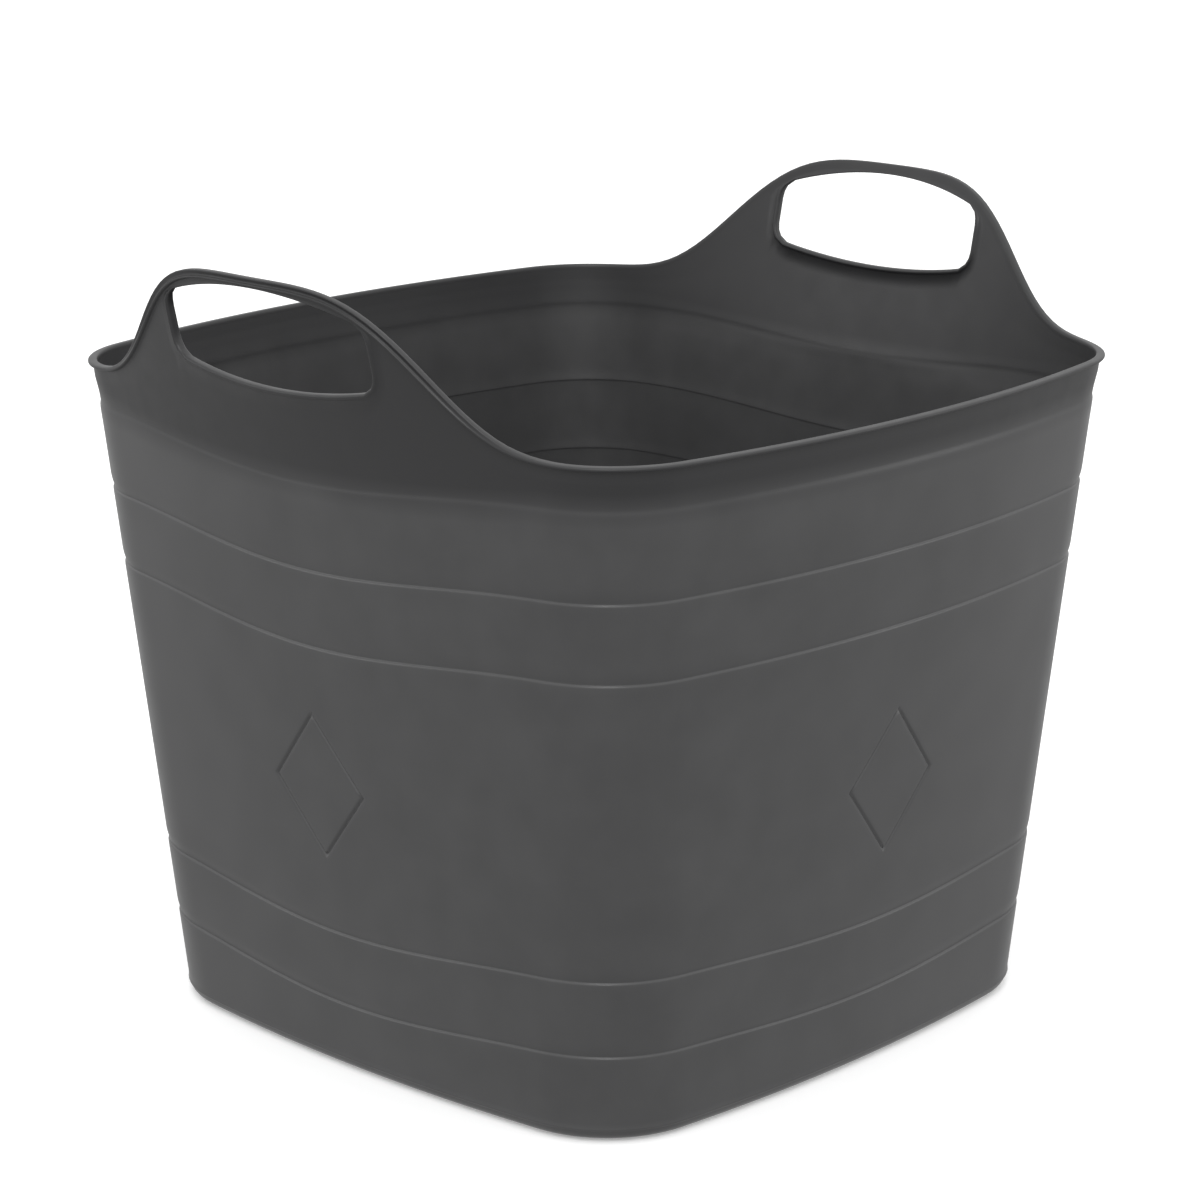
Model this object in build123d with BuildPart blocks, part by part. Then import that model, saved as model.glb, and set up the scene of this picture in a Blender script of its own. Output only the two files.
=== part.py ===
"""Flexible square storage tub with two arched grip handles. Millimetres, +Z up.

The origin is on the floor, under the middle of the base. The handles stand on the -X and +X walls.
Each part is one region of the moulding, cut from a common wall shell along its moulded lines.
"""
from build123d import *
from math import cos, exp, hypot, pi, sqrt
import os

# Driving sizes
BASE_HALF = 189.8          # middle of a wall to the centre line, at the floor
WALL_SLOPE = 0.1067        # outward lean per millimetre of height
BASE_BOW = 7.3             # how far the middle of a wall bulges past its ends, at the floor
BOW_GROWTH = 0.03          # extra bulge per millimetre of height
CORNER_RADIUS = 62.5
FOOT_RADIUS = 8.0
WALL = 2.5
FLOOR = 3.0
FLOOR_INSET = 14.0         # the flat floor panel starts this far inside the outer wall

RIM_HEIGHT = 366.0
HANDLE_RISE = 75.4
HANDLE_SPREAD = 115.2      # sets the width of the bell-shaped handle
BLOCK_TOP = 450.0          # wall blocks are built up to here, then trimmed by the rim curve
BEAD_OUT = 2.4
BEAD_TALL = 3.4

FLARE_START = 331.0        # above this the handle walls lean out further
FLARE_OUT = 17.0           # extra lean at BLOCK_TOP, at the middle of a handle wall

MOULD_LINES = {"foot": 49.0, "lower": 91.0, "waist": 252.8, "upper": 295.0, "collar": 342.5}
LINE_DIP = 9.4             # every moulded line dips this far under a handle
LINE_DIP_SPAN = 160.0

HOLE_HALF = 74.0
HOLE_FLOOR = 391.0
HOLE_SAG = 8.0             # the hole's lower edge is this much higher at its ends
GRIP_BAR = 6.0
HOLE_CORNER = 11.0
HOLE_EDGE_WIDE = 1.8
HOLE_EDGE_OUT = 0.9

FLEX_HEIGHT = 374.0        # the handles bend at this level
FLEX_GAP = 0.8

DIAMOND_HEIGHT = 165.5
DIAMOND_ASIDE = 5.0        # each diamond sits this far to one side of its wall's middle
DIAMOND_HALF_WIDE = 34.5
DIAMOND_HALF_TALL = 41.5
DIAMOND_GROOVE = 2.4
DIAMOND_DEEP = 0.7

REACH = 300.0              # trimming shapes run past the tub by this much
BAND_NAMES = ["foot_band", "lower_band", "main_wall", "upper_band", "shoulder_band"]
HANDLE_SIDES = {"left": -1, "right": 1}
WALL_ANGLES = {"right": 0, "back": 90, "left": 180, "front": 270}
DIAMOND_PLANES = {
    "front": Plane(origin=(DIAMOND_ASIDE, 0, DIAMOND_HEIGHT), x_dir=(1, 0, 0), z_dir=(0, -1, 0)),
    "right": Plane(origin=(0, -DIAMOND_ASIDE, DIAMOND_HEIGHT), x_dir=(0, 1, 0), z_dir=(1, 0, 0)),
    "back": Plane(origin=(-DIAMOND_ASIDE, 0, DIAMOND_HEIGHT), x_dir=(-1, 0, 0), z_dir=(0, 1, 0)),
    "left": Plane(origin=(0, DIAMOND_ASIDE, DIAMOND_HEIGHT), x_dir=(0, -1, 0), z_dir=(-1, 0, 0)),
}


# Curves of the side view, as heights over the Y position
def rim_curve(y):
    return RIM_HEIGHT + HANDLE_RISE * exp(-((y / HANDLE_SPREAD) ** 4))


def mould_line(height, y):
    if abs(y) >= LINE_DIP_SPAN:
        return height
    return height - LINE_DIP * cos(pi * y / (2 * LINE_DIP_SPAN)) ** 2


# Wall blocks
def wall_section(height, inset, flare):
    """Outer half width and bulge of the handle walls and of the plain walls at one height."""
    half = BASE_HALF + WALL_SLOPE * height - inset
    bow = BASE_BOW + BOW_GROWTH * height
    return half + flare, bow + flare, half, bow


def wall_outline(height, inset, flare=0.0):
    """A rounded square of four bulging sides and four tangent corner arcs, as a flat sketch."""
    half_x, bow_x, half_y, bow_y = wall_section(height, inset, flare)
    corner = CORNER_RADIUS - inset
    chord_x = half_y - corner
    chord_y = half_x - corner
    radius_x = (chord_x**2 + bow_x**2) / (2 * bow_x)
    radius_y = (chord_y**2 + bow_y**2) / (2 * bow_y)
    centre_x = half_x - radius_x
    centre_y = half_y - radius_y
    # The corner arc's centre lies where two circles round the side-arc centres cross.
    span = hypot(centre_x, centre_y)
    along = ((radius_x - corner) ** 2 - (radius_y - corner) ** 2 + span**2) / (2 * span)
    across = sqrt((radius_x - corner) ** 2 - along**2)
    corner_x = centre_x - along * centre_x / span - across * centre_y / span
    corner_y = along * centre_y / span - across * centre_x / span
    reach_x = radius_x / (radius_x - corner)
    side_end = (centre_x + (corner_x - centre_x) * reach_x, corner_y * reach_x)
    reach_y = radius_y / (radius_y - corner)
    end_end = (corner_x * reach_y, centre_y + (corner_y - centre_y) * reach_y)
    lean_x = (side_end[0] - corner_x + end_end[0] - corner_x) / 2
    lean_y = (side_end[1] - corner_y + end_end[1] - corner_y) / 2
    scale = corner / hypot(lean_x, lean_y)
    tip = (corner_x + lean_x * scale, corner_y + lean_y * scale)
    with BuildSketch(Plane.XY.offset(height)) as outline:
        with BuildLine():
            ThreePointArc((side_end[0], -side_end[1]), (half_x, 0), side_end)
            ThreePointArc(side_end, tip, end_end)
            ThreePointArc(end_end, (0, half_y), (-end_end[0], end_end[1]))
            ThreePointArc((-end_end[0], end_end[1]), (-tip[0], tip[1]), (-side_end[0], side_end[1]))
            ThreePointArc((-side_end[0], side_end[1]), (-half_x, 0), (-side_end[0], -side_end[1]))
            ThreePointArc((-side_end[0], -side_end[1]), (-tip[0], -tip[1]), (-end_end[0], -end_end[1]))
            ThreePointArc((-end_end[0], -end_end[1]), (0, -half_y), (end_end[0], -end_end[1]))
            ThreePointArc((end_end[0], -end_end[1]), (tip[0], -tip[1]), (side_end[0], -side_end[1]))
        make_face()
    return outline.sketch


def wall_block(inset, bottom=0.0, bottom_radius=0.0):
    """The solid inside the wall surface moved in by the inset, flared above FLARE_START."""
    knee = wall_outline(FLARE_START, inset)
    with BuildPart() as block:
        loft([wall_outline(bottom, inset).face(), knee.face()], ruled=True)
        if bottom_radius:
            fillet(block.edges().group_by(Axis.Z)[0], bottom_radius)
        loft([knee.face(), wall_outline(BLOCK_TOP, inset, FLARE_OUT).face()], ruled=True)
    return block.part


def wall_skin(outer_inset, inner_inset):
    """The layer between two insets; a negative inset stands proud of the outer wall."""
    with BuildPart() as skin:
        add(wall_block(outer_inset))
        add(wall_block(inner_inset), mode=Mode.SUBTRACT)
    return skin.part


# Side-view regions, pushed through the whole tub along X
def curve_points(curve):
    steps = [-REACH, -LINE_DIP_SPAN, -140, -120, -100, -80, -60, -30]
    return [(y, curve(y)) for y in steps + [0] + [-y for y in reversed(steps)]]


def region_below(curve):
    with BuildPart() as region:
        with BuildSketch(Plane.YZ):
            with BuildLine():
                edge = Spline(*curve_points(curve))
                Polyline(edge @ 1, (REACH, -REACH), (-REACH, -REACH), edge @ 0)
            make_face()
        extrude(amount=REACH, both=True)
    return region.part


def level_slab(bottom, top):
    with BuildPart() as slab:
        with Locations((0, 0, (bottom + top) / 2)):
            Box(2 * REACH, 2 * REACH, top - bottom)
    return slab.part


def side_half(direction):
    with BuildPart() as half:
        with Locations((direction * REACH / 2, 0, RIM_HEIGHT)):
            Box(REACH, 2 * REACH, 2 * REACH)
    return half.part


def wall_quarter(angle):
    """The space that belongs to one wall, between the tub's two diagonals."""
    with BuildPart() as quarter:
        with BuildSketch(Plane.XY.rotated((0, 0, angle))):
            with BuildLine():
                Polyline((0, 0), (REACH, -REACH), (REACH, REACH), close=True)
            make_face()
        extrude(amount=BLOCK_TOP)
    return quarter.part


def hand_hole(grow):
    """The hand hole's outline, enlarged by the given amount, pushed through along X."""
    with BuildPart() as hole:
        with BuildSketch(Plane.YZ):
            with BuildLine():
                low_end = (HOLE_HALF, HOLE_FLOOR + HOLE_SAG)
                high_end = (HOLE_HALF, rim_curve(HOLE_HALF) - GRIP_BAR)
                low = ThreePointArc((-low_end[0], low_end[1]), (0, HOLE_FLOOR), low_end)
                high = ThreePointArc((-high_end[0], high_end[1]), (0, rim_curve(0) - GRIP_BAR), high_end)
                Line(low @ 1, high @ 1)
                Line(low @ 0, high @ 0)
            outline = make_face()
            fillet(outline.vertices(), HOLE_CORNER)
            if grow:
                offset(amount=grow, mode=Mode.REPLACE)
        extrude(amount=REACH, both=True)
    return hole.part


def diamond_prism(plane, shrink):
    """A diamond on a wall's plane, made smaller by the given half width, pushed outwards through that wall."""
    wide = DIAMOND_HALF_WIDE - shrink
    tall = wide * DIAMOND_HALF_TALL / DIAMOND_HALF_WIDE
    with BuildPart() as prism:
        with BuildSketch(plane):
            with BuildLine():
                Polyline((wide, 0), (0, tall), (-wide, 0), (0, -tall), close=True)
            make_face()
        extrude(amount=REACH)
    return prism.part


# Shared cutting shapes
outer_block = wall_block(0, bottom_radius=FOOT_RADIUS)
inner_block = wall_block(WALL, bottom=FLOOR, bottom_radius=FOOT_RADIUS - WALL)
under_rim = region_below(rim_curve)
under_bead = region_below(lambda y: rim_curve(y) - BEAD_TALL)
under_line = {name: region_below(lambda y, h=height: mould_line(h, y)) for name, height in MOULD_LINES.items()}
root_zone = level_slab(-FLOOR, FLEX_HEIGHT - FLEX_GAP / 2)
handle_zone = level_slab(FLEX_HEIGHT + FLEX_GAP / 2, BLOCK_TOP)
hole_cutter = hand_hole(0)
hole_edge_cutter = hand_hole(HOLE_EDGE_WIDE)
bead_skin = wall_skin(-BEAD_OUT, 0)
hole_edge_skin = wall_skin(-HOLE_EDGE_OUT, 0)
groove_skin = wall_skin(-DIAMOND_DEEP, DIAMOND_DEEP)

with BuildPart() as floor_cutter:
    loft([wall_outline(0, FLOOR_INSET).face(), wall_outline(FLOOR, FLOOR_INSET).face()], ruled=True)

with BuildPart() as shell:
    add(outer_block)
    add(inner_block, mode=Mode.SUBTRACT)
    add(floor_cutter.part, mode=Mode.SUBTRACT)


def finish(piece, name):
    piece.part.label = name
    export_step(piece.part, f"parts/{name}.step")


def finish_by_wall(ring, name):
    """Writes a ring as four nodes, one for each wall, cut at the middle of the corners."""
    for wall, angle in WALL_ANGLES.items():
        with BuildPart() as piece:
            add(ring.part)
            add(wall_quarter(angle), mode=Mode.INTERSECT)
        finish(piece, f"{name}_{wall}")


os.makedirs("parts", exist_ok=True)

# Floor
with BuildPart() as floor_panel:
    add(floor_cutter.part)
finish(floor_panel, "floor_panel")

# Wall bands, from the floor up to the collar line
bands = {}
line_below = None
for band_name, line_name in zip(BAND_NAMES, MOULD_LINES):
    with BuildPart() as band:
        add(shell.part)
        add(under_line[line_name], mode=Mode.INTERSECT)
        if line_below:
            add(under_line[line_below], mode=Mode.SUBTRACT)
    bands[band_name] = band
    line_below = line_name

# The diamond on each wall: a panel inside an engraved outline
for side, plane in DIAMOND_PLANES.items():
    with BuildPart() as diamond:
        add(bands["main_wall"].part)
        add(diamond_prism(plane, DIAMOND_GROOVE), mode=Mode.INTERSECT)
    finish(diamond, f"diamond_{side}")

    with BuildPart() as groove:
        add(diamond_prism(plane, 0))
        add(groove_skin, mode=Mode.INTERSECT)
    with BuildPart() as engraved_wall:
        add(bands["main_wall"].part)
        add(groove.part, mode=Mode.SUBTRACT)
        add(diamond_prism(plane, DIAMOND_GROOVE), mode=Mode.SUBTRACT)
    bands["main_wall"] = engraved_wall

for band_name, band in bands.items():
    if band_name == "upper_band":
        finish_by_wall(band, band_name)
    else:
        finish(band, band_name)

# Collar above the top moulded line, up to the rim and the flex line
with BuildPart() as collar:
    add(shell.part)
    add(under_rim, mode=Mode.INTERSECT)
    add(under_line["collar"], mode=Mode.SUBTRACT)
    add(root_zone, mode=Mode.INTERSECT)
finish_by_wall(collar, "collar")

# Rolled rim bead
with BuildPart() as rim_bead:
    add(bead_skin)
    add(under_rim, mode=Mode.INTERSECT)
    add(under_bead, mode=Mode.SUBTRACT)
    add(root_zone, mode=Mode.INTERSECT)
for bead_name, solid in zip(["rim_bead_front", "rim_bead_back"], rim_bead.part.solids().sort_by(Axis.Y)):
    with BuildPart() as bead:
        add(solid)
    finish(bead, bead_name)

# Handles: arch, rim bead over the arch, raised edge round the hand hole
for side, direction in HANDLE_SIDES.items():
    half = side_half(direction)
    with BuildPart() as arch:
        add(shell.part)
        add(half, mode=Mode.INTERSECT)
        add(under_rim, mode=Mode.INTERSECT)
        add(handle_zone, mode=Mode.INTERSECT)
        add(hole_cutter, mode=Mode.SUBTRACT)
    finish(arch, f"handle_{side}_arch")

    with BuildPart() as handle_bead:
        add(bead_skin)
        add(half, mode=Mode.INTERSECT)
        add(under_rim, mode=Mode.INTERSECT)
        add(under_bead, mode=Mode.SUBTRACT)
        add(handle_zone, mode=Mode.INTERSECT)
    finish(handle_bead, f"handle_{side}_bead")

    with BuildPart() as hole_edge:
        add(hole_edge_skin)
        add(half, mode=Mode.INTERSECT)
        add(hole_edge_cutter, mode=Mode.INTERSECT)
        add(hole_cutter, mode=Mode.SUBTRACT)
    finish(hole_edge, f"handle_{side}_hole_edge")
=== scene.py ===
"""Looks of the flexible storage tub: one continuous moulded skin, split where the two handles flex.

Shapes are worked out in millimetres from the same wall formula as the CAD model, then written in metres.
"""
import math

import bpy
import numpy as np
from mathutils import Matrix, Vector


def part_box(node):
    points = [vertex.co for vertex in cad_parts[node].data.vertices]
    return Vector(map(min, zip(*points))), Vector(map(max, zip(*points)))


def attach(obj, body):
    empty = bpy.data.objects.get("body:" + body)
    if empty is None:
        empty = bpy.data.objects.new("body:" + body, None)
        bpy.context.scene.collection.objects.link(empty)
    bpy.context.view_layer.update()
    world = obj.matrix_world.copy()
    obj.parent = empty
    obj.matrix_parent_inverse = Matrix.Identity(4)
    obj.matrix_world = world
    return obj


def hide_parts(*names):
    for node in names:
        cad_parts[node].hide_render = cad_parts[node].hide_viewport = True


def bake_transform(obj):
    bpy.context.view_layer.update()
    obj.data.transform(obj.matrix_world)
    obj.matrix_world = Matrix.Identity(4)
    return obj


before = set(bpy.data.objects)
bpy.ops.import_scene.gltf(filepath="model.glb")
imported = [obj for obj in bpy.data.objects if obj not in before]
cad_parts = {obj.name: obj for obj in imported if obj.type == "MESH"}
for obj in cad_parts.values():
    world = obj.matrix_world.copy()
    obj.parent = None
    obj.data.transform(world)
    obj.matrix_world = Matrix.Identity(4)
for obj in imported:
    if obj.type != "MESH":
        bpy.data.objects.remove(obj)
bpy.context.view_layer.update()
MM = 0.001

# ---------------------------------------------------------------- sizes, as in the CAD model
BASE_HALF = 189.8
WALL_SLOPE = 0.1067
BASE_BOW = 7.3
BOW_GROWTH = 0.03
CORNER_RADIUS = 62.5
FOOT_RADIUS = 8.0
WALL = 2.5
FLOOR = 3.0
RIM_HEIGHT = 366.0
HANDLE_RISE = 75.4
HANDLE_SPREAD = 115.2
BLOCK_TOP = 450.0
FLARE_START = 331.0
FLARE_OUT = 17.0
LINE_DIP = 9.4
LINE_DIP_SPAN = 160.0
HOLE_HALF = 74.0
HOLE_FLOOR = 391.0
HOLE_SAG = 8.0
GRIP_BAR = 6.0
HOLE_CORNER = 11.0
DIAMOND_HEIGHT = 165.5
DIAMOND_ASIDE = 5.0
DIAMOND_HALF_WIDE = 34.5
DIAMOND_HALF_TALL = 41.5

# Each moulded line is the top edge of one of these bands.
BANDS = ["foot_band", "lower_band", "main_wall", "upper_band", "shoulder_band"]
BAND_NODES = [[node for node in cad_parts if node.startswith(band)] for band in BANDS]
LINE_HEIGHTS = [round(max(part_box(node)[1].z for node in nodes) / MM, 1) for nodes in BAND_NODES]
# The two lowest lines also sag a little in the middle of the plain walls.
PLAIN_WALL_SAG = [5.4, 5.4, 0.0, 0.0, 0.0]

# ---------------------------------------------------------------- fine relief of the skin
# (rise above the foot's curve, distance out of the wall)
FOOT_RIDGE = [(0.0, 0.0), (0.3, 0.4), (0.8, 0.5), (1.4, 0.35), (2.6, 0.1), (4.0, 0.0)]
# (rise above the line, distance out of the wall)
STEP_GROOVE = [
    (-5.0, 0.0), (-1.2, 0.0), (-0.5, -0.08), (-0.1, -0.4), (0.1, -0.85), (0.35, -1.0), (0.9, -0.95),
    (2.0, -0.72), (3.5, -0.42), (5.5, -0.15), (8.0, 0.0),
]
COLLAR_GROOVE = [
    (-6.0, 0.0), (-3.0, -0.06), (-1.6, -0.2), (-0.6, -0.45), (0.2, -0.72), (1.2, -0.86), (3.0, -0.84),
    (6.0, -0.72),
]
# (distance across the edge, distance out of the wall), from the outside over the rim to the inside.
# Over the handles the lip is a ridge a little below the edge; elsewhere it is the edge itself.
HANDLE_LIP = np.array([
    (-5.1, 0.02), (-4.9, 0.1), (-4.7, 0.4), (-4.55, 0.95), (-4.35, 1.5), (-4.0, 1.95), (-3.65, 2.05),
    (-3.3, 1.75), (-3.1, 1.2), (-2.8, 0.75), (-2.3, 0.6), (-1.6, 0.75), (-1.0, 1.1), (-0.6, 1.3),
    (-0.2, 1.15), (0.0, 0.6), (0.0, -0.5), (-0.05, -1.6), (-0.3, -2.2), (-0.9, -2.55), (-2.0, -2.6),
    (-3.2, -2.55),
])
PLAIN_LIP = np.array([
    (-3.4, 0.02), (-3.0, 0.06), (-2.7, 0.2), (-2.5, 0.5), (-2.35, 1.0), (-2.2, 1.6), (-1.95, 2.1),
    (-1.6, 2.4), (-1.2, 2.5), (-0.8, 2.45), (-0.45, 2.25), (-0.2, 1.9), (-0.05, 1.4), (0.0, 0.9), (0.0, 0.4),
    (0.0, -0.2), (0.0, -1.0), (-0.05, -1.7), (-0.3, -2.2), (-0.9, -2.5), (-2.0, -2.55), (-3.2, -2.5),
])
# The handles' lip is whole up to the first distance from the wall's middle and gone at the second.
LIP_CHANGES = (100.0, 165.0)
# (distance from the hole's edge, distance out of the wall), from the outside through the hole to the inside.
# Along the top of the hole the raised edge is almost gone.
HOLE_LIP = np.array([
    (3.1, 0.08), (2.75, 0.4), (2.25, 0.9), (1.55, 1.25), (0.85, 1.2), (0.3, 0.75), (0.03, 0.0), (0.0, -1.2),
    (0.03, -2.5), (0.3, -3.2), (0.85, -3.65), (1.55, -3.7), (2.25, -3.35), (2.75, -2.9), (3.1, -2.48),
])
CROWN_LIP = np.array([
    (0.8, 0.02), (0.72, 0.1), (0.6, 0.15), (0.44, 0.15), (0.28, 0.05), (0.12, -0.2), (0.02, -0.6),
    (0.0, -1.25), (0.02, -1.9), (0.12, -2.3), (0.28, -2.55), (0.44, -2.65), (0.6, -2.65), (0.72, -2.6),
    (0.8, -2.48),
])
# Upward share of the edge's direction at which the top's lip starts, and over how much it takes over.
CROWN_CHANGES = (0.3, 0.6)
# (distance from the groove's middle, distance out of the wall)
DIAMOND_PROFILE = [
    (3.4, 0.0), (1.7, 0.0), (1.2, -0.08), (0.8, -0.4), (0.4, -0.95), (0.0, -1.15), (-0.4, -0.95),
    (-0.8, -0.4), (-1.2, -0.08), (-1.7, 0.0), (-3.4, 0.0), (-9.0, 0.0), (-15.0, 0.0), (-21.0, 0.0),
]
DIAMOND_MIDDLE = 1.2       # the groove's middle lies this far inside the diamond's outline
INSIDE_SHARE = 0.3         # how much of the outer relief shows on the inner face

# ---------------------------------------------------------------- how finely the skin is divided
HOLE_COLUMNS = 24
LEG_COLUMNS = 16
PLAIN_COLUMNS = 40
CORNER_COLUMNS = 16
HOLE_ROWS = 8
UNDER_HOLE_ROWS = 5
WARPED_COLUMNS = 6
# Where the rows between two moulded lines lie, as shares of the way up.
SPANS = [[0.5], [0.5], [0.05, *np.linspace(0.1, 0.82, 13), 0.88, 0.94], [0.5], [0.33, 0.67]]
DIAMOND_SPAN = 2           # the span that holds the diamonds
DIAMOND_ROWS = 12
DIAMOND_HALF_COLUMNS = (9, 6)
HOLE_MIDDLE = 400.0        # columns over the hole are spaced for this height
ARC_SAMPLES = 80
FOOT_STEPS = 8
BASE_RINGS = (0.97, 0.85, 0.6, 0.3)
SETTLE_START = 200.0
SETTLE_ROUNDS = 6


# ---------------------------------------------------------------- wall formula
def wall_section(z):
    """Side radii, side centres and the corner centre. Index 0 is the handle walls, 1 the plain walls."""
    half = BASE_HALF + WALL_SLOPE * z
    bow = BASE_BOW + BOW_GROWTH * z
    flare = FLARE_OUT * np.clip((z - FLARE_START) / (BLOCK_TOP - FLARE_START), 0, 1)
    halves = (half + flare, half)
    bows = (bow + flare, bow)
    radii = [((halves[1 - k] - CORNER_RADIUS) ** 2 + bows[k] ** 2) / (2 * bows[k]) for k in (0, 1)]
    centres = [halves[k] - radii[k] for k in (0, 1)]
    span = np.hypot(centres[0], centres[1])
    along = ((radii[0] - CORNER_RADIUS) ** 2 - (radii[1] - CORNER_RADIUS) ** 2 + span**2) / (2 * span)
    across = np.sqrt((radii[0] - CORNER_RADIUS) ** 2 - along**2)
    corner_x = centres[0] - along * centres[0] / span - across * centres[1] / span
    corner_y = along * centres[1] / span - across * centres[0] / span
    return radii, centres, (corner_x, corner_y)


def turned(side, ahead, sideways):
    """Outward and anticlockwise parts of a side's own directions, turned into X and Y."""
    cosine = (1, 0, -1, 0)[side]
    sine = (0, 1, 0, -1)[side]
    return ahead * cosine - sideways * sine, ahead * sine + sideways * cosine


def lifted(side, ahead, sideways, z, normal_ahead, normal_sideways, out):
    """Points moved out along the normal of the sloping wall."""
    x, y = turned(side, ahead, sideways)
    normal_x, normal_y = turned(side, normal_ahead, normal_sideways)
    level = out / math.hypot(1, WALL_SLOPE)
    return np.stack([x + normal_x * level, y + normal_y * level, z - WALL_SLOPE * level], -1)


def side_point(side, u, z, out):
    radii, centres, _ = wall_section(z)
    sine = u / radii[side % 2]
    cosine = np.sqrt(1 - sine**2)
    return lifted(side, centres[side % 2] + radii[side % 2] * cosine, u, z, cosine, sine, out)


def side_reach(side, z):
    """How far a side's arc runs sideways before the corner arc starts."""
    radii, centres, corner = wall_section(z)
    near, far = side % 2, 1 - side % 2
    return radii[near] * np.sin(np.arctan2(corner[far], corner[near] - centres[near]))


def corner_point(side, share, z, out):
    """Points on the corner that follows a side, at a share of its arc."""
    _, centres, corner = wall_section(z)
    near, far = side % 2, 1 - side % 2
    start = np.arctan2(corner[far], corner[near] - centres[near])
    end = math.pi / 2 - np.arctan2(corner[near], corner[far] - centres[far])
    angle = start + (end - start) * share
    cosine, sine = np.cos(angle), np.sin(angle)
    ahead = corner[near] + CORNER_RADIUS * cosine
    sideways = corner[far] + CORNER_RADIUS * sine
    return lifted(side, ahead, sideways, z, cosine, sine, out)


# ---------------------------------------------------------------- columns
hole_share = HOLE_HALF / side_reach(0, HOLE_MIDDLE)
leg_shares = np.linspace(hole_share, 1, LEG_COLUMNS + 1)[1:]
over_hole = np.linspace(-hole_share, hole_share, HOLE_COLUMNS + 1)
handle_shares = np.concatenate([-leg_shares[::-1], over_hole, leg_shares])
plain_shares = np.linspace(-1, 1, PLAIN_COLUMNS + 1)
corner_shares = np.linspace(0, 1, CORNER_COLUMNS + 1)[1:-1]

shares = []
flats = []
corners = []
for number in range(4):
    for places, values in ((flats, plain_shares if number % 2 else handle_shares), (corners, corner_shares)):
        places.append(np.arange(len(shares), len(shares) + len(values)))
        shares.extend(values)
shares = np.array(shares)
COLUMNS = len(shares)


def ring(z, out=0.0):
    """A point of every column, at its own height z, moved out of the wall."""
    z = np.zeros(COLUMNS) + z
    out = np.zeros(COLUMNS) + out
    points = np.empty((COLUMNS, 3))
    for side in range(4):
        flat, corner = flats[side], corners[side]
        points[flat] = side_point(side, shares[flat] * side_reach(side, z[flat]), z[flat], out[flat])
        points[corner] = corner_point(side, shares[corner], z[corner], out[corner])
    return points


def settle(curve):
    """The height at which each column meets a curve given over X and Y."""
    z = np.full(COLUMNS, SETTLE_START)
    for _ in range(SETTLE_ROUNDS):
        x, y, _ = ring(z).T
        z = curve(x, y)
    return z


def swell(distance):
    wave = np.cos(math.pi * distance / (2 * LINE_DIP_SPAN)) ** 2
    return np.where(np.abs(distance) < LINE_DIP_SPAN, wave, 0)


def rim_curve(y):
    return RIM_HEIGHT + HANDLE_RISE * np.exp(-((y / HANDLE_SPREAD) ** 4))


def rim_slope(y):
    return -4 * HANDLE_RISE * np.exp(-((y / HANDLE_SPREAD) ** 4)) * y**3 / HANDLE_SPREAD**4


lines = [
    settle(lambda x, y, height=height, sag=sag: height - LINE_DIP * swell(y) - sag * swell(x))
    for height, sag in zip(LINE_HEIGHTS, PLAIN_WALL_SAG)
]
rim = settle(lambda x, y: rim_curve(y))

# How much of the handles' lip each column takes; the rest is the plain lip.
lip_share = np.zeros(COLUMNS)
for side in (0, 2):
    aside = np.abs(shares[flats[side]]) * side_reach(side, rim[flats[side]])
    lip_share[flats[side]] = np.clip((LIP_CHANGES[1] - aside) / (LIP_CHANGES[1] - LIP_CHANGES[0]), 0, 1)
rim_steps = [
    tuple(plain[axis] + (handle[axis] - plain[axis]) * lip_share for axis in (0, 1))
    for handle, plain in zip(HANDLE_LIP, PLAIN_LIP)
]


# ---------------------------------------------------------------- rows from the foot to the collar
foot_top = FOOT_RADIUS * (1 - WALL_SLOPE / math.hypot(1, WALL_SLOPE))
rows = [(foot_top + rise + 0 * rim, out) for rise, out in FOOT_RIDGE]
diamond_row = 0
for number, line in enumerate(lines):
    groove = COLLAR_GROOVE if number == len(lines) - 1 else STEP_GROOVE
    lower = rows[-1][0]
    upper = line + groove[0][0]
    if number == DIAMOND_SPAN:
        diamond_row = len(rows) + 1
    rows += [(lower + (upper - lower) * share, 0.0) for share in SPANS[number]]
    rows += [(line + rise, out) for rise, out in groove]


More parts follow.
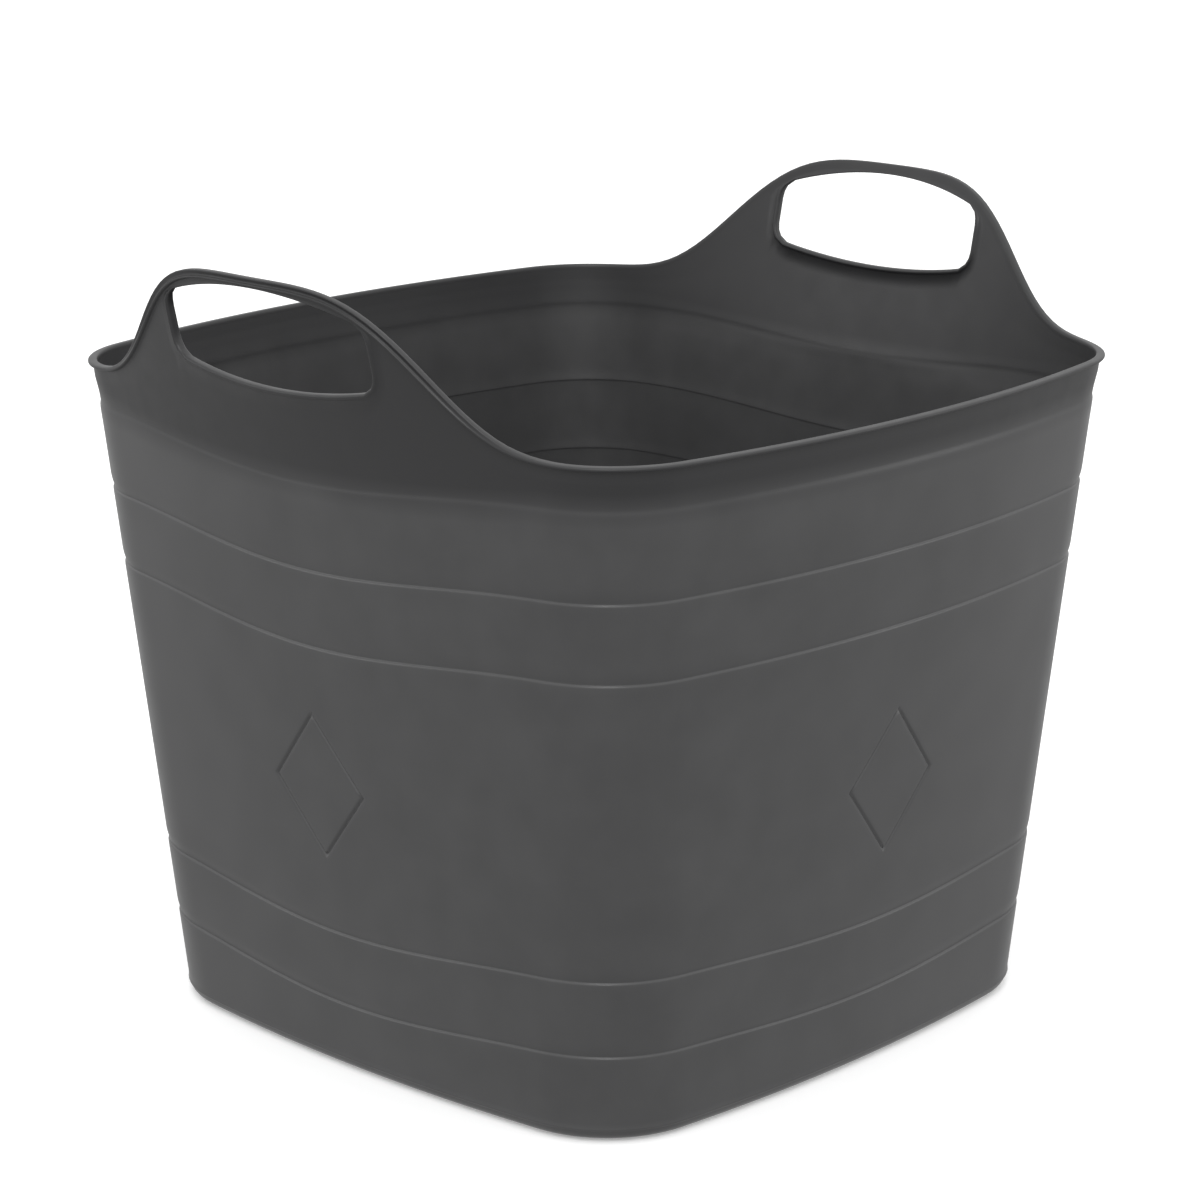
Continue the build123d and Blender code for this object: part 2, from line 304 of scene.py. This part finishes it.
# ---------------------------------------------------------------- handle walls above the collar line
def hole_outline():
    """Points of the hand hole's edge and their outward directions, anticlockwise seen from outside.

    There are HOLE_COLUMNS steps along the bottom and the top and HOLE_ROWS up each end. These four runs
    meet in the middle of the rounded corners.
    """
    end_top = rim_curve(HOLE_HALF) - GRIP_BAR
    top = RIM_HEIGHT + HANDLE_RISE - GRIP_BAR
    low_radius = (HOLE_HALF**2 + HOLE_SAG**2) / (2 * HOLE_SAG)
    high_radius = (HOLE_HALF**2 + (top - end_top) ** 2) / (2 * (top - end_top))
    low_centre = HOLE_FLOOR - HOLE_SAG + low_radius
    high_centre = top - high_radius
    inner = HOLE_HALF - HOLE_CORNER
    low_corner = low_centre - math.sqrt((low_radius - HOLE_CORNER) ** 2 - inner**2)
    high_corner = high_centre + math.sqrt((high_radius - HOLE_CORNER) ** 2 - inner**2)
    low_turn = math.atan2(inner, low_centre - low_corner) - math.pi / 2
    high_turn = math.pi / 2 - math.atan2(inner, high_corner - high_centre)
    # Each arc is (centre across, centre height, radius, first angle, last angle).
    bottom = [
        (-inner, low_corner, HOLE_CORNER, -math.pi - low_turn / 2, -math.pi - low_turn),
        (0, low_centre, low_radius, -math.pi - low_turn, low_turn),
        (inner, low_corner, HOLE_CORNER, low_turn, low_turn / 2),
    ]
    end = [
        (inner, low_corner, HOLE_CORNER, low_turn / 2, 0),
        (inner, high_corner, HOLE_CORNER, 0, high_turn / 2),
    ]
    crown = [
        (inner, high_corner, HOLE_CORNER, high_turn / 2, high_turn),
        (0, high_centre, high_radius, high_turn, math.pi - high_turn),
        (-inner, high_corner, HOLE_CORNER, math.pi - high_turn, math.pi - high_turn / 2),
    ]
    other_end = [
        (-inner, high_corner, HOLE_CORNER, math.pi - high_turn / 2, math.pi),
        (-inner, low_corner, HOLE_CORNER, math.pi, math.pi - low_turn / 2),
    ]
    points, directions = [], []
    runs = ((bottom, HOLE_COLUMNS), (end, HOLE_ROWS), (crown, HOLE_COLUMNS), (other_end, HOLE_ROWS))
    for arcs, steps in runs:
        angles = [np.linspace(first, last, ARC_SAMPLES) for _, _, _, first, last in arcs]
        away = [np.stack([np.cos(angle), np.sin(angle)], -1) for angle in angles]
        run = np.concatenate([np.array(arc[:2]) + arc[2] * ray for arc, ray in zip(arcs, away)])
        away = np.concatenate(away)
        length = np.concatenate([[0], np.cumsum(np.hypot(*np.diff(run, axis=0).T))])
        wanted = np.linspace(0, length[-1], steps + 1)[:-1]
        points.append(np.stack([np.interp(wanted, length, run[:, axis]) for axis in (0, 1)], -1))
        directions.append(np.stack([np.interp(wanted, length, away[:, axis]) for axis in (0, 1)], -1))
    directions = np.concatenate(directions)
    return np.concatenate(points), directions / np.hypot(*directions.T)[:, None]


def edge_places(along_edge):
    """(sideways, height) on a handle wall, moved from the rim curve along the direction across it."""
    u = shares[flats[0]] * side_reach(0, rim[flats[0]])
    slope = rim_slope(u)
    length = np.hypot(1, slope)
    across = along_edge[flats[0]]
    return np.stack([u - slope / length * across, rim[flats[0]] + across / length], -1)


hole_points, hole_directions = hole_outline()
crown_share = np.clip((hole_directions[:, 1] - CROWN_CHANGES[0]) / CROWN_CHANGES[1], 0, 1)
hole_steps = [
    tuple(full[axis] + (narrow[axis] - full[axis]) * crown_share for axis in (0, 1))
    for full, narrow in zip(HOLE_LIP, CROWN_LIP)
]
first_hole = LEG_COLUMNS
last_hole = LEG_COLUMNS + HOLE_COLUMNS
top_row = UNDER_HOLE_ROWS + HOLE_ROWS + 1
hole_places = np.concatenate([
    [(UNDER_HOLE_ROWS, first_hole + step) for step in range(HOLE_COLUMNS)],
    [(UNDER_HOLE_ROWS + step, last_hole) for step in range(HOLE_ROWS)],
    [(top_row - 1, last_hole - step) for step in range(HOLE_COLUMNS)],
    [(top_row - 1 - step, first_hole) for step in range(HOLE_ROWS)],
])


def handle_places():
    """(sideways, height) of the vertices of a handle wall from the collar line to the rim, row by row."""
    collar_z = rows[-1][0][flats[0]]
    low = np.stack([shares[flats[0]] * side_reach(0, collar_z), collar_z], -1)
    high = edge_places(rim_steps[0][0])
    places = np.zeros((top_row + 1, len(low), 2))
    places[0] = low
    places[top_row] = high
    edge = hole_points + hole_directions * hole_steps[0][0][:, None]
    places[hole_places[:, 0], hole_places[:, 1]] = edge
    for row in range(1, UNDER_HOLE_ROWS):
        share = row / UNDER_HOLE_ROWS
        span = slice(first_hole, last_hole + 1)
        places[row, span] = low[span] + (places[UNDER_HOLE_ROWS, span] - low[span]) * share
    for hole_end, legs in ((first_hole, range(first_hole)), (last_hole, range(last_hole + 1, len(low)))):
        rise = (places[:, hole_end, 1] - low[hole_end, 1]) / (high[hole_end, 1] - low[hole_end, 1])
        straight = low[hole_end] + (high[hole_end] - low[hole_end]) * rise[:, None]
        bulge = places[:, hole_end] - straight
        for column in legs:
            fade = max(0, 1 - abs(column - hole_end) / WARPED_COLUMNS) ** 2
            places[:, column] = low[column] + (high[column] - low[column]) * rise[:, None] + bulge * fade
    return places, rise


wall_places, upper_shares = handle_places()
collar_out = rows[-1][1]
upper_outs = np.interp(
    range(top_row + 1), [0, UNDER_HOLE_ROWS, top_row - 1, top_row],
    [collar_out, HOLE_LIP[0][1], CROWN_LIP[0][1], HANDLE_LIP[0][1]],
)


# ---------------------------------------------------------------- the skin as one mesh
points = []
faces = []
owners = []


def add_points(places):
    first = sum(len(block) for block in points)
    points.append(places)
    return np.arange(first, first + len(places))


def add_face(corner_numbers, owner, flip=False):
    numbers = [int(number) for number in corner_numbers]
    faces.append(numbers[::-1] if flip else numbers)
    owners.append(owner)


def add_band(lower, upper, band_owners, flip=False):
    """Faces between two closed rows of vertices that run anticlockwise."""
    for here in range(len(lower)):
        after = (here + 1) % len(lower)
        owner = band_owners if isinstance(band_owners, str) else band_owners[here]
        add_face((lower[here], lower[after], upper[after], upper[here]), owner, flip)


column_owners = ["tub"] * COLUMNS
for side, owner in ((0, "handle_right"), (2, "handle_left")):
    for column in flats[side][:-1]:
        column_owners[column] = owner


def outer_depth(out):
    return out


def inner_depth(out):
    return -WALL + INSIDE_SHARE * out


def diamond_patch(grid, side, depth, flip):
    """The engraved diamond: similar diamonds inside one another, which fill a block of the grid."""
    middle = flats[side][len(flats[side]) // 2]
    reach = DIAMOND_HALF_COLUMNS[side % 2]
    low, high = diamond_row, diamond_row + DIAMOND_ROWS
    half_rows = DIAMOND_ROWS // 2
    edge = [grid[low, middle + step] for step in range(reach)]
    edge += [grid[low + step, middle + reach] for step in range(DIAMOND_ROWS)]
    edge += [grid[high, middle + reach - step] for step in range(2 * reach)]
    edge += [grid[high - step, middle - reach] for step in range(DIAMOND_ROWS)]
    edge += [grid[low, middle - reach + step] for step in range(reach)]
    quarter = reach + half_rows
    ramp = np.arange(quarter) / quarter
    across = np.concatenate([ramp, 1 - ramp, -ramp, ramp - 1])
    along = np.concatenate([ramp - 1, ramp, 1 - ramp, -ramp])
    slant = DIAMOND_HALF_WIDE * DIAMOND_HALF_TALL / math.hypot(DIAMOND_HALF_WIDE, DIAMOND_HALF_TALL)
    outline = np.array(edge)
    aside = DIAMOND_ASIDE if side % 2 else -DIAMOND_ASIDE
    for distance, out in DIAMOND_PROFILE:
        scale = 1 + (distance - DIAMOND_MIDDLE) / slant
        u = aside + across * DIAMOND_HALF_WIDE * scale
        z = DIAMOND_HEIGHT + along * DIAMOND_HALF_TALL * scale
        inline = add_points(side_point(side, u, z, depth(out)))
        add_band(outline, inline, "tub", flip)
        outline = inline
    centre = add_points(side_point(side, np.full(1, aside), np.full(1, DIAMOND_HEIGHT), depth(0.0)))[0]
    for here in range(len(outline)):
        add_face((outline[here], outline[(here + 1) % len(outline)], centre), "tub", flip)


def add_sheet(depth, flip):
    """One face of the wall, from the foot to just under the rim. Returns its rows of vertex numbers."""
    grid = np.array([add_points(ring(z, depth(out))) for z, out in rows])
    skipped = set()
    for side in range(4):
        if depth is outer_depth:
            middle = flats[side][len(flats[side]) // 2]
            reach = DIAMOND_HALF_COLUMNS[side % 2]
            block = range(middle - reach, middle + reach)
            for row in range(diamond_row, diamond_row + DIAMOND_ROWS):
                skipped |= {(row, column) for column in block}
            diamond_patch(grid, side, depth, flip)
    for row in range(len(grid) - 1):
        for column in range(COLUMNS):
            if (row, column) not in skipped:
                after = (column + 1) % COLUMNS
                square = (grid[row, column], grid[row, after], grid[row + 1, after], grid[row + 1, column])
                add_face(square, "tub", flip)

    collar_z = rows[-1][0]
    upper = [grid[-1]]
    for row in range(1, top_row + 1):
        z = collar_z + (rim + rim_steps[0][0] - collar_z) * upper_shares[row]
        places = ring(z, depth(upper_outs[row]))
        for side in (0, 2):
            u, height = wall_places[row].T
            places[flats[side]] = side_point(side, u, height, depth(upper_outs[row]))
        upper.append(add_points(places))
    upper = np.array(upper)
    holes = {(row, flats[side][0] + column) for side in (0, 2)
             for row in range(UNDER_HOLE_ROWS, top_row - 1) for column in range(first_hole, last_hole)}
    for row in range(top_row):
        for column in range(COLUMNS):
            if (row, column) not in holes:
                after = (column + 1) % COLUMNS
                low = (upper[row, column], upper[row, after])
                high = (upper[row + 1, after], upper[row + 1, column])
                add_face(low + high, column_owners[column], flip)
    return grid, upper


def add_rim(outer_row, inner_row):
    """The rolled lip that joins the outer and inner faces of the wall."""
    before = outer_row
    for along_edge, out in rim_steps[1:]:
        places = ring(rim + along_edge, out)
        for side in (0, 2):
            u, height = edge_places(along_edge).T
            places[flats[side]] = side_point(side, u, height, out[flats[side]])
        row = add_points(places)
        add_band(before, row, column_owners)
        before = row
    add_band(before, inner_row, column_owners)


def add_hole_edge(side, owner, outer_grid, inner_grid):
    """The rounded edge of a hand hole, from the outer face of the wall to the inner one."""
    columns = flats[side][0] + hole_places[:, 1]
    before = outer_grid[hole_places[:, 0], columns]
    for distance, out in hole_steps[1:-1]:
        u, height = (hole_points + hole_directions * distance[:, None]).T
        row = add_points(side_point(side, u, height, out))
        add_band(before, row, owner)
        before = row
    add_band(before, inner_grid[hole_places[:, 0], columns], owner)


def add_base(wall_row, centre_height, radius, flat_height, flip):
    """The rounded foot and the flat base, under the tub or inside it."""
    lean = math.atan(WALL_SLOPE)
    centre_z = centre_height + FOOT_RADIUS * math.sin(lean)
    centres = ring(centre_z, -FOOT_RADIUS)
    outward = (ring(centre_z, 0.0) - centres) / FOOT_RADIUS
    level = outward * (1, 1, 0)
    level /= np.linalg.norm(level, axis=1)[:, None]
    downward = np.stack([-level[:, 0] * math.sin(lean), -level[:, 1] * math.sin(lean),
                         np.full(COLUMNS, -math.cos(lean))], -1)
    before = wall_row
    for angle in np.linspace(0, math.pi / 2 - lean, FOOT_STEPS + 1)[1:]:
        row = add_points(centres + radius * (outward * math.cos(angle) + downward * math.sin(angle)))
        add_band(row, before, "tub", flip)
        before = row
    flat = centres.copy()
    flat[:, 2] = flat_height
    for scale in BASE_RINGS:
        row = add_points(flat * (scale, scale, 1))
        add_band(row, before, "tub", flip)
        before = row
    middle = add_points(np.array([[0.0, 0.0, flat_height]]))[0]
    for here in range(COLUMNS):
        add_face((middle, before[(here + 1) % COLUMNS], before[here]), "tub", flip)


outer_grid, outer_upper = add_sheet(outer_depth, False)
inner_grid, inner_upper = add_sheet(inner_depth, True)
add_rim(outer_upper[-1], inner_upper[-1])
for side, owner in ((0, "handle_right"), (2, "handle_left")):
    add_hole_edge(side, owner, outer_upper, inner_upper)
add_base(outer_grid[0], foot_top, FOOT_RADIUS, 0.0, False)
add_base(inner_grid[0], foot_top, FOOT_RADIUS - WALL, FLOOR, True)
points = np.concatenate(points) * MM


# ---------------------------------------------------------------- pieces that ride on the bodies
def new_mesh(name, places, polygons):
    mesh = bpy.data.meshes.new(name)
    mesh.from_pydata(places.tolist(), [], polygons)
    mesh.polygons.foreach_set("use_smooth", [True] * len(polygons))
    mesh.update()
    return mesh


whole = new_mesh("whole_skin", points, faces)
normals = np.array([vector.vector for vector in whole.vertex_normals])
bpy.data.meshes.remove(whole)


def new_piece(name, owner):
    """The faces of one owner as an object whose shading runs on across the seams."""
    polygons = [face for face, of_face in zip(faces, owners) if of_face == owner]
    used = np.unique(np.concatenate(polygons))
    renumbered = {int(old): new for new, old in enumerate(used)}
    mesh = new_mesh(name, points[used], [[renumbered[number] for number in face] for face in polygons])
    mesh.normals_split_custom_set_from_vertices(normals[used].tolist())
    piece = bpy.data.objects.new(name, mesh)
    bpy.context.scene.collection.objects.link(piece)
    return piece


tub_skin = new_piece("tub_skin", "tub")
handle_skins = {side: new_piece(f"handle_{side}_skin", f"handle_{side}") for side in ("left", "right")}
tub_nodes = [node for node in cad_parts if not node.startswith("handle_")]
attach(tub_skin, "tub")
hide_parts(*tub_nodes)
for side, skin in handle_skins.items():
    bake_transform(skin)
    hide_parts(*[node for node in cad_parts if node.startswith(f"handle_{side}_")])


# ---------------------------------------------------------------- moulded plastic
WALL_TONES = (0.049, 0.049, 0.050, 1), (0.057, 0.057, 0.058, 1)
# Painted shade: above the collar line the wall colour is darkened towards this tone, in place of the shade
# that falls on the collar under the rolled lip.
COLLAR_PAINTED_SHADE = (0.019, 0.019, 0.020, 1)
# Heights in metres over which the painted collar shade fades in.
COLLAR_FADE = (0.334, 0.352)
LINE_DIP_REACH = 0.026     # squared distance from the wall's middle at which the dip ends, in square metres
WALL_ROUGHNESS = (0.29, 0.36)
COLLAR_DULLNESS = 0.12
NOISE_RANGE = (0.3, 0.7)
# Noise scale and detail.
MOTTLE_NOISE = (30, 4)
ROUGHNESS_NOISE = (60, 5)
WAVE_NOISE = (12, 1)
GRAIN_NOISE = (1400, 2)
# Bump distance and strength.
WAVE_BUMP = (0.0015, 0.06)
GRAIN_BUMP = (0.00006, 0.6)


def ranged(tree, value, from_range, to_range):
    """The value mapped from one range to another and held inside it."""
    node = tree.nodes.new("ShaderNodeMapRange")
    for socket, number in zip(("From Min", "From Max", "To Min", "To Max"), (*from_range, *to_range)):
        node.inputs[socket].default_value = number
    tree.links.new(value, node.inputs["Value"])
    return node.outputs["Result"]


def combined(tree, operation, first, second):
    node = tree.nodes.new("ShaderNodeMath")
    node.operation = operation
    tree.links.new(first, node.inputs[0])
    tree.links.new(second, node.inputs[1])
    return node.outputs["Value"]


def bump(tree, height, distance, strength):
    node = tree.nodes.new("ShaderNodeBump")
    node.inputs["Distance"].default_value = distance
    node.inputs["Strength"].default_value = strength
    tree.links.new(height, node.inputs["Height"])
    return node


def moulded_plastic():
    """Charcoal polyethylene: satin, faintly mottled, with a fine moulded grain and soft waviness.

    Above the collar line the colour is darkened with painted shade, and the roughness is higher than on the
    walls below.
    """
    material = bpy.data.materials.new("moulded_plastic")
    material.use_nodes = True
    tree = material.node_tree
    shader = tree.nodes["Principled BSDF"]
    shader.inputs["IOR"].default_value = 1.5
    shader.inputs["Specular IOR Level"].default_value = 0.5
    place = tree.nodes.new("ShaderNodeTexCoord").outputs["Object"]

    def noise(scale, detail):
        node = tree.nodes.new("ShaderNodeTexNoise")
        node.inputs["Scale"].default_value = scale
        node.inputs["Detail"].default_value = detail
        tree.links.new(place, node.inputs["Vector"])
        return node.outputs["Fac"]

    parts = tree.nodes.new("ShaderNodeSeparateXYZ")
    tree.links.new(place, parts.inputs["Vector"])
    square = combined(tree, "MULTIPLY", parts.outputs["Y"], parts.outputs["Y"])
    dip = ranged(tree, square, (0, LINE_DIP_REACH), (LINE_DIP * MM, 0))
    # Mask of the painted collar shade: 0 below the collar line and 1 above it, following the line's dip over
    # the handles. It also raises the roughness.
    collar = ranged(tree, combined(tree, "ADD", parts.outputs["Z"], dip), COLLAR_FADE, (0, 1))

    mottle = tree.nodes.new("ShaderNodeMix")
    mottle.data_type = "RGBA"
    mottle.inputs["A"].default_value, mottle.inputs["B"].default_value = WALL_TONES
    tree.links.new(ranged(tree, noise(*MOTTLE_NOISE), NOISE_RANGE, (0, 1)), mottle.inputs["Factor"])
    # Painted shade: the mottled wall colour is mixed towards the dark collar tone above the collar line.
    collar_shade_mix = tree.nodes.new("ShaderNodeMix")
    collar_shade_mix.data_type = "RGBA"
    collar_shade_mix.inputs["B"].default_value = COLLAR_PAINTED_SHADE
    tree.links.new(collar, collar_shade_mix.inputs["Factor"])
    tree.links.new(mottle.outputs["Result"], collar_shade_mix.inputs["A"])
    tree.links.new(collar_shade_mix.outputs["Result"], shader.inputs["Base Color"])

    roughness = ranged(tree, noise(*ROUGHNESS_NOISE), NOISE_RANGE, WALL_ROUGHNESS)
    dullness = ranged(tree, collar, (0, 1), (0, COLLAR_DULLNESS))
    tree.links.new(combined(tree, "ADD", roughness, dullness), shader.inputs["Roughness"])

    waves = bump(tree, noise(*WAVE_NOISE), *WAVE_BUMP)
    grain = bump(tree, noise(*GRAIN_NOISE), *GRAIN_BUMP)
    tree.links.new(waves.outputs["Normal"], grain.inputs["Normal"])
    tree.links.new(grain.outputs["Normal"], shader.inputs["Normal"])
    return material


plastic = moulded_plastic()
for piece in (tub_skin, *handle_skins.values()):
    piece.data.materials.append(plastic)


# ---------------------------------------------------------------- floor, light and camera
SKY_HEIGHTS = (-0.4, 0.8)
SKY_STRENGTHS = (0.6, 1.35)
FLOOR_HALF = 12.0
FLOOR_TONE = (0.86, 0.86, 0.86, 1)
FLOOR_GLOW = 0.25          # keeps the tub's shadow faint


def soft_sky():
    """A pale studio: bright overhead and dimmer towards the floor, so that undercuts stay dark."""
    world = bpy.data.worlds.new("studio")
    world.use_nodes = True
    tree = world.node_tree
    parts = tree.nodes.new("ShaderNodeSeparateXYZ")
    tree.links.new(tree.nodes.new("ShaderNodeTexCoord").outputs["Generated"], parts.inputs["Vector"])
    strength = ranged(tree, parts.outputs["Z"], SKY_HEIGHTS, SKY_STRENGTHS)
    tree.links.new(strength, tree.nodes["Background"].inputs["Strength"])
    tree.nodes["Background"].inputs["Color"].default_value = (1, 1, 1, 1)
    bpy.context.scene.world = world


def floor_paint():
    material = bpy.data.materials.new("floor_paint")
    material.use_nodes = True
    paint = material.node_tree.nodes["Principled BSDF"]
    paint.inputs["Base Color"].default_value = FLOOR_TONE
    paint.inputs["Emission Color"].default_value = (1, 1, 1, 1)
    paint.inputs["Emission Strength"].default_value = FLOOR_GLOW
    paint.inputs["Roughness"].default_value = 0.9
    return material


bpy.context.scene.view_settings.view_transform = "Standard"
soft_sky()

floor_corners = np.array([(-1, -1, 0), (1, -1, 0), (1, 1, 0), (-1, 1, 0)]) * FLOOR_HALF
floor_mesh = new_mesh("floor", floor_corners, [[0, 1, 2, 3]])
floor_mesh.materials.append(floor_paint())
floor = bpy.data.objects.new("floor", floor_mesh)
bpy.context.scene.collection.objects.link(floor)
floor.visible_diffuse = False
floor.visible_glossy = False


def area_light(name, place, target, width, height, power):
    data = bpy.data.lights.new(name, "AREA")
    data.shape = "RECTANGLE"
    data.size = width
    data.size_y = height
    data.energy = power
    light = bpy.data.objects.new(name, data)
    light.location = place
    light.rotation_euler = (Vector(target) - Vector(place)).to_track_quat("-Z", "Y").to_euler()
    bpy.context.scene.collection.objects.link(light)


area_light("strip", (-2.5, 2.3, 0.9), (-0.15, 0.15, 0.2), 0.35, 2.2, 9)
area_light("key", (-2.2, -1.9, 3.0), (0, 0, 0.25), 1.0, 1.6, 40)
area_light("side", (2.4, -2.3, 0.9), (0.15, -0.15, 0.2), 0.7, 2.2, 10)

CAMERA_AZIMUTH = 223.516
CAMERA_ELEVATION = 15.269
CAMERA_DISTANCE = 2.0795
CAMERA_LENS = 111.366
CAMERA_ROLL = -0.126
camera_data = bpy.data.cameras.new("camera")
camera_data.sensor_width = 36
camera_data.lens = CAMERA_LENS
camera = bpy.data.objects.new("camera", camera_data)
azimuth = math.radians(CAMERA_AZIMUTH)
elevation = math.radians(CAMERA_ELEVATION)
level = math.cos(elevation)
back = Vector((level * math.cos(azimuth), level * math.sin(azimuth), math.sin(elevation)))
right = Vector((-math.sin(azimuth), math.cos(azimuth), 0))
up = back.cross(right)
aim = Vector((0, 0, 0.180)) + right * 0.0010 + up * 0.0439
turn = Matrix((right, up, back)).transposed() @ Matrix.Rotation(math.radians(CAMERA_ROLL), 3, "Z")
camera.matrix_world = Matrix.Translation(aim + back * CAMERA_DISTANCE) @ turn.to_4x4()
bpy.context.scene.collection.objects.link(camera)
bpy.context.scene.camera = camera
